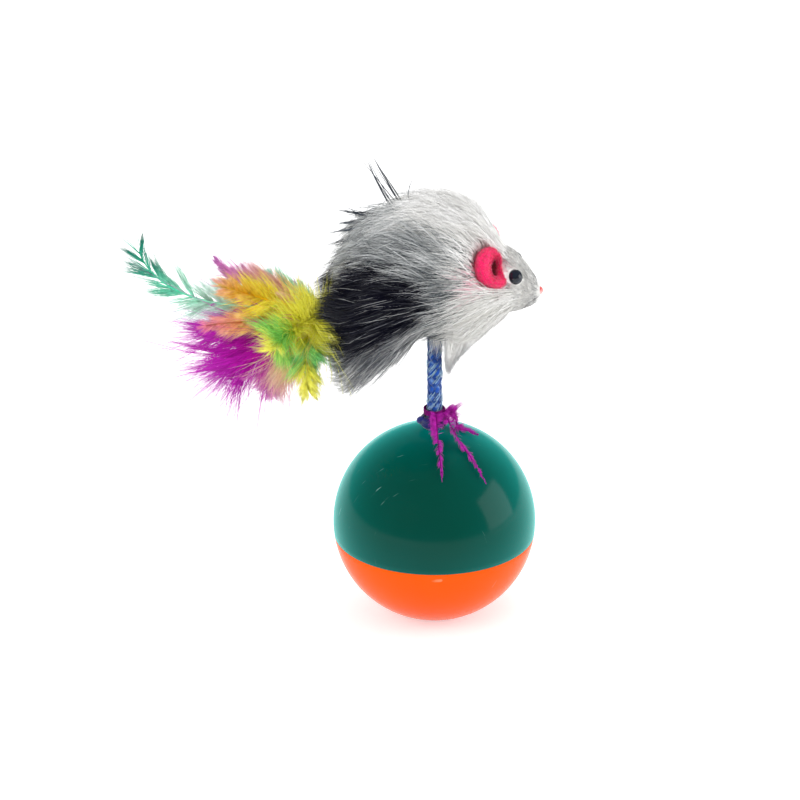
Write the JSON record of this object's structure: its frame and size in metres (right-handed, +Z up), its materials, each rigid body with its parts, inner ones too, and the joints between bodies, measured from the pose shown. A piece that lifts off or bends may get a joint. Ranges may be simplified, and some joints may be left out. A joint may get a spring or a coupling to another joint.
{
  "type": "cat tumbler toy",
  "caption": "Self-righting weighted ball with a bendy sprung stem that carries a furry mouse with felt ears and a tail of dyed feathers.",
  "frame": {"origin": "centre of the small flat under the ball", "axes": "+Z up through the ball and the stem, +X the way the mouse faces, +Y to the mouse's left"},
  "size_m": [0.104, 0.05, 0.1113],
  "materials": {
    "orange_plastic": "gloss",
    "green_plastic": "gloss",
    "steel": "satin",
    "blue_weave": "woven",
    "purple_down": "dyed down",
    "wadding": "matt",
    "white_fur": "short pile",
    "grey_fur": "long pile",
    "pink_felt": "felt",
    "black_bead": "gloss",
    "nose_bead": "satin",
    "thread": "wound thread",
    "green_dye": "dyed feather",
    "yellow_dye": "dyed feather",
    "orange_dye": "dyed feather",
    "lime_dye": "dyed feather",
    "peach_dye": "dyed feather",
    "magenta_dye": "dyed feather",
    "lilac_dye": "dyed feather"
  },
  "bodies": {
    "ball": {"lower_shell": "orange_plastic", "upper_shell": "green_plastic", "ballast_weight": "steel", "ballast_screw": "steel", "sleeve_base": "blue_weave", "spring_base": "steel", "sleeve_cuff": "blue_weave", "tuft_binding": "purple_down", "base_feather_front": "purple_down", "base_feather_side": "purple_down", "base_feather_right": "purple_down"},
    "stem_lower": {"sleeve_middle": "blue_weave", "spring_middle": "steel"},
    "stem_upper": {"sleeve_top": "blue_weave", "spring_top": "steel"},
    "mouse": {"mouse_core": "wadding", "face_cover": "white_fur", "fur_coat": "grey_fur", "ear_right": "pink_felt", "ear_left": "pink_felt", "eye_right": "black_bead", "eye_left": "black_bead", "nose_bead": "nose_bead"},
    "tail": {"tail_ferrule": "thread", "feather_green_long": "green_dye", "feather_yellow_high": "yellow_dye", "feather_orange_middle": "orange_dye", "feather_lime_near": "lime_dye", "feather_yellow_near": "yellow_dye", "feather_peach_low": "peach_dye", "feather_magenta_low": "magenta_dye", "feather_magenta_long": "magenta_dye", "feather_magenta_far": "magenta_dye", "feather_green_small": "green_dye", "feather_lilac_high": "lilac_dye"}
  },
  "joints": [
    {"name": "stem_sway_fore", "type": "hinge", "parent": "ball", "child": "stem_lower", "pos_m": [0, 0, 0.0585], "axis": [0, 1, 0], "range_deg": [-25, 25], "stiffness_Nm_per_rad": 0.05, "deforming": ["sleeve_base", "spring_base"]},
    {"name": "stem_sway_side", "type": "hinge", "parent": "stem_lower", "child": "stem_upper", "pos_m": [0, 0, 0.0654], "axis": [1, 0, 0], "range_deg": [-25, 25], "stiffness_Nm_per_rad": 0.05, "deforming": ["sleeve_middle", "spring_middle"]},
    {"name": "mouse_twist", "type": "hinge", "parent": "stem_upper", "child": "mouse", "pos_m": [0, 0, 0.08], "axis": [0, 0, 1], "range_deg": [-30, 30], "stiffness_Nm_per_rad": 0.01},
    {"name": "tail_flick", "type": "hinge", "parent": "mouse", "child": "tail", "pos_m": [-0.0257, 0, 0.0804], "axis": [0, 1, 0], "range_deg": [-12, 12], "stiffness_Nm_per_rad": 0.004}
  ]
}
